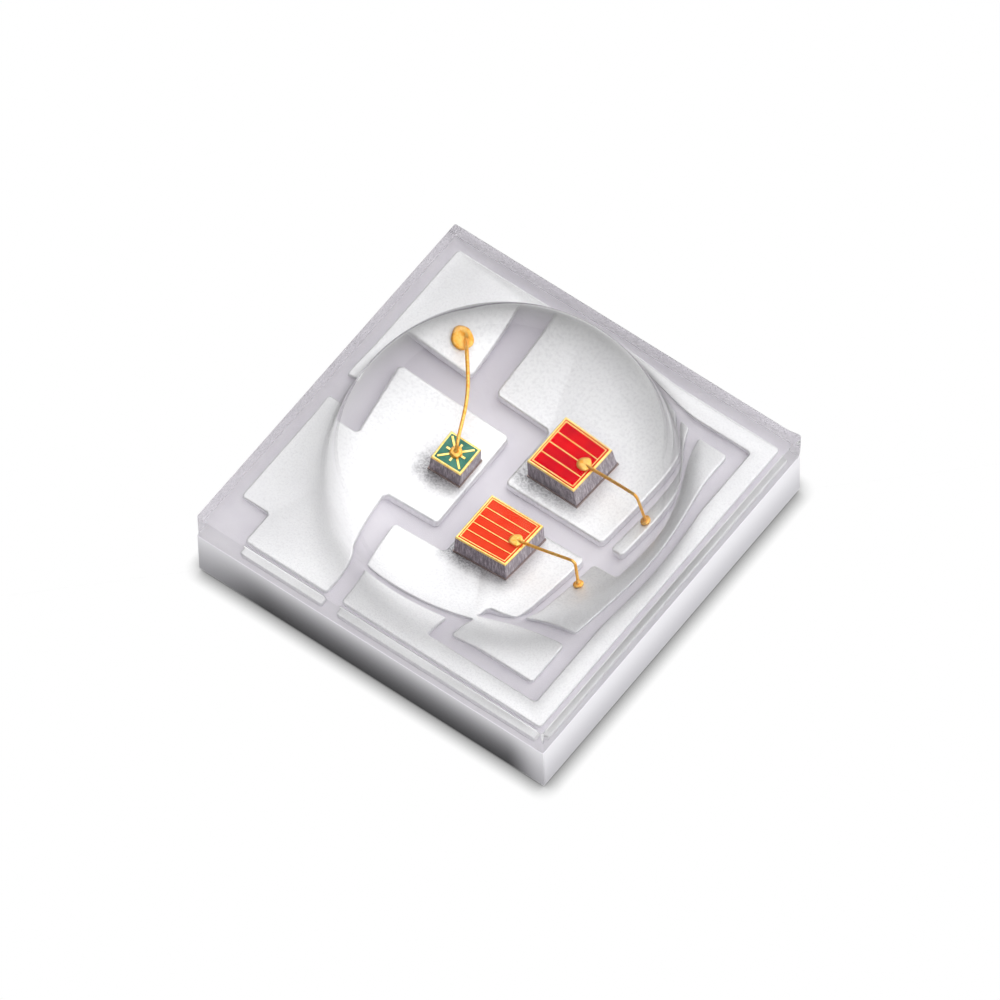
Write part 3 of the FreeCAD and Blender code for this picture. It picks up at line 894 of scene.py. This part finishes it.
@dataclass
class BondWire:
    """A gold wire with the ball it starts from and the bump that holds its far end."""

    colour: Colour
    material: Material
    ball: Place
    bump: Place
    loop_rise: float
    kink_reach: float
    kink_drop: float
    bump_radius: float = 0.036
    dimple: float = 0.0
    sweep: float = 0.0
    end_offset: Point = (0.0, 0.0)
    wire_radius: float = 0.0105
    bend: float = 0.035
    bend_degrees: tuple[float, ...] = (0.0, 30.0, 60.0, 90.0)
    corner_cuts: int = 4
    flare: float = 0.7
    flare_reach: float = 0.022
    sides: int = 24
    ball_radius: float = 0.036
    ball_height: float = 0.022
    rim_power: float = 0.55
    crown_power: float = 0.9
    dimple_share: float = 0.45
    lumps: Point = (0.035, 0.025)
    lump_shift: float = 9.0
    lump_ratio: float = 2.1
    ball_tilt: float = 84.0
    ball_rows: int = 15
    ball_sides: int = 36

    @property
    def wire_end(self) -> Point:
        """Where the wire comes down, on its bump or a little beside the bump's middle."""
        return (self.bump[0] + self.end_offset[0], self.bump[1] + self.end_offset[1])

    def path(self) -> np.ndarray:
        """The wire's middle line as distance from the ball's axis and height.

        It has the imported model's corners: up, over in equal turns, along to a kink and down to
        the bump. Every run keeps only what lies between its quarter and its three quarters, and
        this is done a few times over, which rounds the corners.

        Returns:
            One row of distance and height for each point.
        """
        reach = math.dist(self.ball[:2], self.wire_end)
        high = self.ball[2] + self.loop_rise
        turn = np.radians(self.bend_degrees)
        over = np.column_stack([
            self.bend * (1 - np.cos(turn)), high - self.bend * (1 - np.sin(turn)),
        ])
        corners = np.concatenate([
            [[0.0, self.ball[2] + self.ball_height / 2]], over,
            [[reach - self.kink_reach, high - self.kink_drop]],
            [[reach, self.bump[2] + self.wire_radius]],
        ])
        for _ in range(self.corner_cuts):
            first, last = corners[:-1], corners[1:]
            cut = np.stack([(3 * first + last) / 4, (first + 3 * last) / 4], axis=1)
            corners = np.concatenate([corners[:1], cut.reshape(-1, 2), corners[-1:]])
        return corners

    def tube(self) -> tuple[np.ndarray, list]:
        """A round tube along the path, flared where it leaves the ball.

        A point is the path's point plus the radius times the cosine of its turn along the path's
        normal and the sine of its turn across the path. The moulding swept the wire aside by the
        squared sine of its run.

        Returns:
            Points and faces.
        """
        line = self.path()
        step = np.gradient(line, axis=0)
        tangent = step / np.linalg.norm(step, axis=1)[:, None]
        normal = np.column_stack([-tangent[:, 1], tangent[:, 0]])
        run = np.concatenate([[0.0], np.cumsum(np.linalg.norm(np.diff(line, axis=0), axis=1))])
        radius = self.wire_radius * (1 + self.flare * np.exp(-((run / self.flare_reach) ** 2)))
        turn = np.linspace(0.0, 2 * math.pi, self.sides, endpoint=False)
        along = np.array(self.wire_end) - np.array(self.ball[:2])
        along = along / np.linalg.norm(along)
        across = np.array([-along[1], along[0]])
        flat = line[None, :, 0] + np.cos(turn)[:, None] * radius * normal[None, :, 0]
        height = line[None, :, 1] + np.cos(turn)[:, None] * radius * normal[None, :, 1]
        swept = self.sweep * np.sin(math.pi * run / run[-1]) ** 2
        aside = np.sin(turn)[:, None] * radius[None, :] + swept
        x = self.ball[0] + flat * along[0] + aside * across[0]
        y = self.ball[1] + flat * along[1] + aside * across[1]
        points = np.stack([x, y, height], axis=-1).reshape(-1, 3)
        ends = np.array([[*self.ball[:2], line[0, 1]], [*self.wire_end, line[-1, 1]]])
        return np.concatenate([points, ends]), closed_faces(self.sides, len(line))

    def pressed_ball(self, centre: Place, radius: float, dimple: float) -> tuple[np.ndarray, list]:
        """A ball that the tool pressed flat, with a slightly lumpy rim.

        Its radius follows a power of the height angle's cosine and its height a power of the
        sine. Three and five waves round the rim, which start elsewhere on each ball, make it
        lumpy, and a bell curve sinks its top.

        Args:
            centre: the middle of its underside.
            radius: its largest radius.
            dimple: how deep its top is sunk.

        Returns:
            Points and faces.
        """
        fall = np.radians(np.linspace(self.ball_tilt, -self.ball_tilt, self.ball_rows))
        turn = np.linspace(0.0, 2 * math.pi, self.ball_sides, endpoint=False)
        three, five = self.lumps
        shift = self.lump_shift * centre[0]
        after = self.lump_ratio * shift
        lumps = 1 + three * np.sin(3 * turn + shift) + five * np.sin(5 * turn + after)
        size = radius * np.cos(fall) ** self.rim_power
        crown = np.sign(np.sin(fall)) * np.abs(np.sin(fall)) ** self.crown_power
        height = self.ball_height / 2 * (1 + crown)
        sunk = dimple * np.exp(-((size / (self.dimple_share * radius)) ** 2)) * (fall > 0)
        x = centre[0] + size[None, :] * (lumps * np.cos(turn))[:, None]
        y = centre[1] + size[None, :] * (lumps * np.sin(turn))[:, None]
        z = np.broadcast_to(centre[2] + height - sunk, x.shape)
        points = np.stack([x, y, z], axis=-1).reshape(-1, 3)
        poles = np.array([
            [centre[0], centre[1], centre[2] + self.ball_height - dimple], [*centre],
        ])
        return np.concatenate([points, poles]), closed_faces(len(turn), len(fall))

    def build(self) -> Object:
        """Join the wire, its ball and its bump in one piece.

        Returns:
            The piece.
        """
        shells = [
            self.tube(),
            self.pressed_ball(self.ball, self.ball_radius, 0.0),
            self.pressed_ball(self.bump, self.bump_radius, self.dimple),
        ]
        points, faces = [], []
        for shell_points, shell_faces in shells:
            first = sum(len(p) for p in points)
            faces += [tuple(number + first for number in face) for face in shell_faces]
            points.append(shell_points)
        name = self.colour.value + "_bond_wire"
        return add_piece(
            name + "_drawn", np.concatenate(points), faces, Slot.GOLD, self.material, name,
        )


@dataclass
class WireSet:
    """The three bond wires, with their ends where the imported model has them."""

    material: Material
    ring_bump_radius: float = 0.047
    ring_bump_spread: float = 1.12
    ring_bump_dimple: float = 0.016
    ring_bump_shift: Point = (0.006, -0.028)
    die_bump_radius: float = 0.045
    bond_spot_inset: float = 0.06
    orange_end_offset: Point = (0.045, 0.03)

    def build(self) -> list[Object]:
        """Make the three wires.

        Returns:
            The pieces.
        """
        low, high = {}, {}
        for colour in Colour:
            low[colour], high[colour] = span(colour.value + "_die_edge_metal")
        middle = {colour: (low[colour] + high[colour]) / 2 for colour in Colour}
        top = {colour: span(colour.value + "_die_electrode")[1][2] for colour in Colour}
        pads = span("red_wire_pad")
        pad_top = pads[1][2]
        wire_low, wire_high = span("green_bond_wire")
        green_spot = (*middle[Colour.GREEN][:2], top[Colour.GREEN])
        ring_bump = (
            wire_low[0] + self.ring_bump_radius + self.ring_bump_shift[0],
            wire_high[1] - self.ring_bump_radius + self.ring_bump_shift[1], pad_top,
        )
        red_y, orange_y = middle[Colour.RED][1], middle[Colour.ORANGE][1]
        red_ball = ((pads[0][0] + pads[1][0]) / 2, red_y, pad_top)
        red_spot = (high[Colour.RED][0] - self.bond_spot_inset, red_y, top[Colour.RED])
        orange_ball = (
            span("orange_wire_pad")[0][0] + self.orange_end_offset[0],
            orange_y + self.orange_end_offset[1], pad_top,
        )
        orange_spot = (high[Colour.ORANGE][0] - self.bond_spot_inset, orange_y, top[Colour.ORANGE])
        wires = (
            BondWire(
                Colour.GREEN, self.material, green_spot, ring_bump,
                loop_rise=0.085, kink_reach=0.10, kink_drop=0.09,
                bump_radius=self.ring_bump_radius * self.ring_bump_spread,
                dimple=self.ring_bump_dimple, sweep=-0.028, end_offset=(0.018, 0.004),
            ),
            BondWire(
                Colour.RED, self.material, red_ball, red_spot,
                loop_rise=0.275, kink_reach=0.13, kink_drop=0.075,
                bump_radius=self.die_bump_radius,
            ),
            BondWire(
                Colour.ORANGE, self.material, orange_ball, orange_spot,
                loop_rise=0.240, kink_reach=0.085, kink_drop=0.065,
                bump_radius=self.die_bump_radius,
            ),
        )
        return [wire.build() for wire in wires]


@dataclass
class Tile:
    """The ceramic tile with its top pads, terminals and filled holes."""

    pad_rounding: float = 0.014
    tile_rounding: float = 0.01
    terminal_rounding: float = 0.006

    def build(self) -> list[Object]:
        """Stand softened copies in for the tile's pieces and dress the vias.

        Returns:
            The pieces.
        """
        plain = SilverPlate().make()
        ceramic = WhiteCeramic().make()
        copper = Copper().make()
        pieces = [soften("ceramic_substrate", self.tile_rounding, ceramic)]
        for colour in Colour:
            low, high = span(colour.value + "_die_body")
            middle = (low + high) / 2
            plate = SilverPlate(
                name=f"matte_silver_plate_under_{colour.value}_die",
                die_centre=(float(middle[0]), float(middle[1])),
                die_half_side=float(high[0] - low[0]) / 2,
            ).make()
            for use, finish_above in (("die", plate), ("wire", plain)):
                pad = f"{colour.value}_{use}_pad"
                pieces.append(soften(pad, self.pad_rounding, finish_above))
            for use in ("die", "wire"):
                foot = f"{colour.value}_{use}_terminal"
                pieces.append(soften(foot, self.terminal_rounding, plain))
                pieces.append(dress(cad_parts[f"{colour.value}_{use}_via"], copper))
        pieces.append(soften("thermal_pad", self.terminal_rounding, plain))
        return pieces


@dataclass
class Dies:
    """The three dies. Their nodes only get finishes, apart from the edge metal's rounded rim."""

    gold: Material
    rim_width: float = 0.0155
    rim_rise: float = 0.0012
    rim_power: float = 0.6
    rim_rows: int = 11
    rim_side_points: int = 12
    colours: dict = field(default_factory=lambda: {
        Colour.GREEN: ("62A08E", "427F70"),
        Colour.RED: ("FF0A1A", "D80420"),
        Colour.ORANGE: ("FF5436", "FF4024"),
    })

    def build(self) -> list[Object]:
        """Dress every layer of the three dies and give each its rim.

        Returns:
            The pieces.
        """
        bond = DieBond().make()
        pieces = []
        for colour, (bright, deep) in self.colours.items():
            name = colour.value + "_die_"
            low, high = span(name + "body")
            side = SawnDie(f"sawn_{colour.value}_die_side", (float(high[0]), float(low[1])))
            layer = Emitter(f"{colour.value}_emitting_layer", bright, deep)
            finishes = {
                "attach": bond, "body": side.make(), "edge_metal": self.gold,
                "electrode": self.gold, "emitter": layer.make(),
            }
            for part, material in finishes.items():
                pieces.append(dress(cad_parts[name + part], material))
            pieces.append(self.add_rim(colour))
        return pieces

    def add_rim(self, colour: Colour) -> Object:
        """The rounded bead in which the edge metal laps over the emitting layer.

        Its section is a flattened half circle from the die's edge to the rim's inner side: its
        height is a power of the sine of the turn. The section is carried along the square, so
        every point is the square's, drawn in towards the die's middle by the section's distance.

        Args:
            colour: the die.

        Returns:
            The rim.
        """
        low, high = span(colour.value + "_die_edge_metal")
        top = span(colour.value + "_die_emitter")[1][2] + self.rim_rise
        middle, half = (low + high) / 2, float(high[0] - low[0]) / 2
        turn = np.linspace(0.0, math.pi, self.rim_rows)
        inset = self.rim_width / 2 * (1 - np.cos(turn))
        height = high[2] + (top - high[2]) * np.sin(turn) ** self.rim_power
        corners = np.array([(1, 1), (-1, 1), (-1, -1), (1, -1)], dtype=float)
        share = np.linspace(0.0, 1.0, self.rim_side_points, endpoint=False)
        nearest = np.concatenate([
            corners[i] + (corners[(i + 1) % 4] - corners[i]) * share[:, None] for i in range(4)
        ])
        flat = middle[:2] + nearest[:, None, :] * (half - inset)[None, :, None]
        level = np.broadcast_to(height[None, :, None], (*flat.shape[:2], 1))
        grid = np.concatenate([flat, level], axis=2)
        count, rows = grid.shape[:2]
        faces = np.array(grid_faces(count, rows))
        here = np.arange(count) * rows
        beside = np.roll(here, -1)
        under = np.stack([here, beside, beside + rows - 1, here + rows - 1], axis=-1)
        faces = np.concatenate([faces[:, ::-1], under[:, ::-1]]).tolist()
        name = colour.value + "_die_rim"
        return add_piece(name, grid.reshape(-1, 3), faces, Slot.GOLD, self.gold)


def way_to(turn: float, tilt: float) -> Vector:
    """The direction from the part at an azimuth and an elevation, in radians."""
    return Vector((
        math.sin(turn) * math.cos(tilt), -math.cos(turn) * math.cos(tilt), math.sin(tilt),
    ))


@dataclass
class Lamp:
    """A soft lamp, aimed at the part."""

    name: str
    azimuth: float
    elevation: float
    level: float
    size: float = 60.0
    distance: float = 80.0

    def build(self) -> None:
        """Add the lamp.

        Its power is what gives a white surface that faces it the stated share of full white:
        level times pi squared times the squared distance.
        """
        light = bpy.data.lights.new(self.name, "AREA")
        light.shape = "SQUARE"
        light.size = self.size * MM
        light.energy = self.level * (math.pi * self.distance * MM) ** 2
        lamp = bpy.data.objects.new(self.name, light)
        turn, tilt = math.radians(self.azimuth), math.radians(self.elevation)
        towards = way_to(turn, tilt)
        lamp.location = towards * self.distance * MM
        lamp.rotation_euler = towards.to_track_quat("Z", "Y").to_euler()
        lamp.visible_transmission = False
        lamp.visible_glossy = False
        bpy.context.scene.collection.objects.link(lamp)


@dataclass
class Studio:
    """The floor, the surrounding light, the lamps and the camera."""

    floor_side: float = 400.0
    floor_gap: float = 0.002
    paper_colour: str = "E6E6E8"
    white: str = "FFFFFF"
    contact_mm: float = 0.14
    contact_power: float = 1.5
    contact_rays: int = 16
    bright_side: Place = (0.45, 0.45, 0.77)
    tent: Fade = Fade(0.05, 0.72, 0.12, 1.92)
    matt_tent: Fade = Fade(-0.3, 0.8, 0.10, 1.35)
    under_level: float = 0.8
    camera_azimuth: float = 38.37
    camera_elevation: float = 58.23
    camera_roll: float = -1.89
    camera_distance: float = 120.0
    focal_length: float = 539.5
    sensor_width: float = 36.0
    sight: Point = (0.01, 10.0)
    target: Place = (0.045, -0.045, 0.56)
    lamps: tuple[Lamp, ...] = (
        Lamp("key", azimuth=185.0, elevation=62.0, level=0.10),
        Lamp("front_fill", azimuth=5.0, elevation=12.0, level=0.36),
    )

    def build_floor(self) -> None:
        """A white sheet that takes the shadow and shows white to the camera elsewhere.

        It is clear from below, so that the part's underside can be looked at.
        """
        half, level = self.floor_side / 2 * MM, -self.floor_gap * MM
        mesh = bpy.data.meshes.new("studio_floor")
        corners = [
            (-half, -half, level), (half, -half, level), (half, half, level), (-half, half, level),
        ]
        mesh.from_pydata(corners, [], [(0, 1, 2, 3)])
        floor = bpy.data.objects.new("studio_floor", mesh)
        bpy.context.scene.collection.objects.link(floor)
        material, tree, _ = new_material("white_paper_sweep")
        paper = add_node(tree, "BsdfDiffuse", {"Color": linear(self.paper_colour)})
        path = add_node(tree, "LightPath", {}).outputs
        seen = path["Is Camera Ray"]
        for ray in ("Is Glossy Ray", "Is Transmission Ray"):
            seen = add_node(tree, "Math", (seen, path[ray]), operation="MAXIMUM")
        contact = add_node(
            tree, "AmbientOcclusion", {"Distance": self.contact_mm * MM}, samples=self.contact_rays,
        ).outputs["AO"]
        open_share = add_node(tree, "Math", (contact, self.contact_power), operation="POWER")
        level = add_node(tree, "Math", (seen, open_share), operation="MULTIPLY")
        glow = add_node(tree, "Emission", (linear(self.white), level))
        # a look sees the white sheet with the part's contact shadow, light itself the plain paper
        sheet = add_node(tree, "MixShader", (seen, paper, glow))
        # a look from below goes through, and so does the light that it brings back down
        depth = path["Transparent Depth"]
        passed = add_node(tree, "Math", (depth, ONCE), operation="GREATER_THAN")
        back = add_node(tree, "NewGeometry", {}).outputs["Backfacing"]
        from_below = add_node(tree, "Math", (back, passed), operation="MAXIMUM")
        clear = add_node(tree, "BsdfTransparent", {})
        shown = add_node(tree, "MixShader", (from_below, sheet, clear))
        add_node(tree, "OutputMaterial", (shown,))
        dress(floor, material)

    def build_world(self) -> None:
        """A white tent that is brightest behind the part and dimmer towards its front.

        The camera sees plain white. Polished surfaces and clear silicone show the tent itself,
        and matt surfaces get its light at a gentler contrast. Below the floor it is even.
        """
        world = bpy.data.worlds.new("white_tent")
        world.use_nodes = True
        world.cycles.sampling_method = "NONE"
        bpy.context.scene.world = world
        tree = world.node_tree
        tree.nodes.clear()
        path = add_node(tree, "LightPath", {}).outputs
        direction = add_node(tree, "TexCoord", {}).outputs["Generated"]
        facing = add_node(
            tree, "VectorMath", (direction, self.bright_side), operation="DOT_PRODUCT",
        )
        tent = add_node(tree, "MapRange", (facing, *self.tent), **SMOOTH)
        matt = add_node(tree, "MapRange", (facing, *self.matt_tent), **SMOOTH)
        turns = path["Diffuse Depth"]
        after_matt = add_node(tree, "Math", (turns, ONCE), operation="GREATER_THAN")
        lit = add_node(tree, "Mix", {0: after_matt, 2: tent, 3: matt}, data_type="FLOAT")
        height = add_node(tree, "SeparateXYZ", (direction,)).outputs["Z"]
        under = add_node(tree, "Math", (height, 0.0), operation="LESS_THAN")
        lit = add_node(tree, "Mix", {0: under, 2: lit, 3: self.under_level}, data_type="FLOAT")
        level = add_node(tree, "Math", (lit, path["Is Camera Ray"]), operation="MAXIMUM")
        sky = add_node(tree, "Background", {"Color": linear(self.white), "Strength": level})
        add_node(tree, "OutputWorld", (sky,))

    def build_camera(self) -> None:
        """The photograph's view: turn, tilt and roll about the part."""
        turn, tilt = math.radians(self.camera_azimuth), math.radians(self.camera_elevation)
        roll = math.radians(self.camera_roll)
        back = way_to(turn, tilt)
        right = Vector((math.cos(turn), math.sin(turn), 0.0))
        up = back.cross(right)
        rolled_right = right * math.cos(roll) + up * math.sin(roll)
        rolled_up = up * math.cos(roll) - right * math.sin(roll)
        data = bpy.data.cameras.new("camera")
        data.lens = self.focal_length
        data.sensor_width = self.sensor_width
        data.clip_start, data.clip_end = self.sight
        camera = bpy.data.objects.new("camera", data)
        turned = Matrix((rolled_right, rolled_up, back)).transposed().to_4x4()
        place = (Vector(self.target) + back * self.camera_distance) * MM
        camera.matrix_world = Matrix.Translation(place) @ turned
        bpy.context.scene.collection.objects.link(camera)
        bpy.context.scene.camera = camera

    def build(self) -> None:
        """Set the whole studio up."""
        self.build_floor()
        self.build_world()
        for lamp in self.lamps:
            lamp.build()
        self.build_camera()
        bpy.context.scene.view_settings.view_transform = "Standard"


def main() -> None:
    """Build the studio and dress the part, piece by piece."""
    logging.basicConfig(level=logging.INFO, format="%(message)s")
    Studio().build()
    gold = BondGold().make()
    for piece in Tile().build():
        log.info("finished %s", piece.name)
    plated = BondGold(name="plated_gold", colour="FFE596", shade="FFCB66", roughness=0.30)
    for piece in Dies(plated.make()).build():
        log.info("dressed %s", piece.name)
    for piece in WireSet(gold).build():
        log.info("drew %s", piece.name)
    lens = SiliconeLens(ClearSilicone().make()).build()
    log.info("cast %s with %d faces", lens.name, len(lens.data.polygons))


if __name__ == "__main__":
    main()
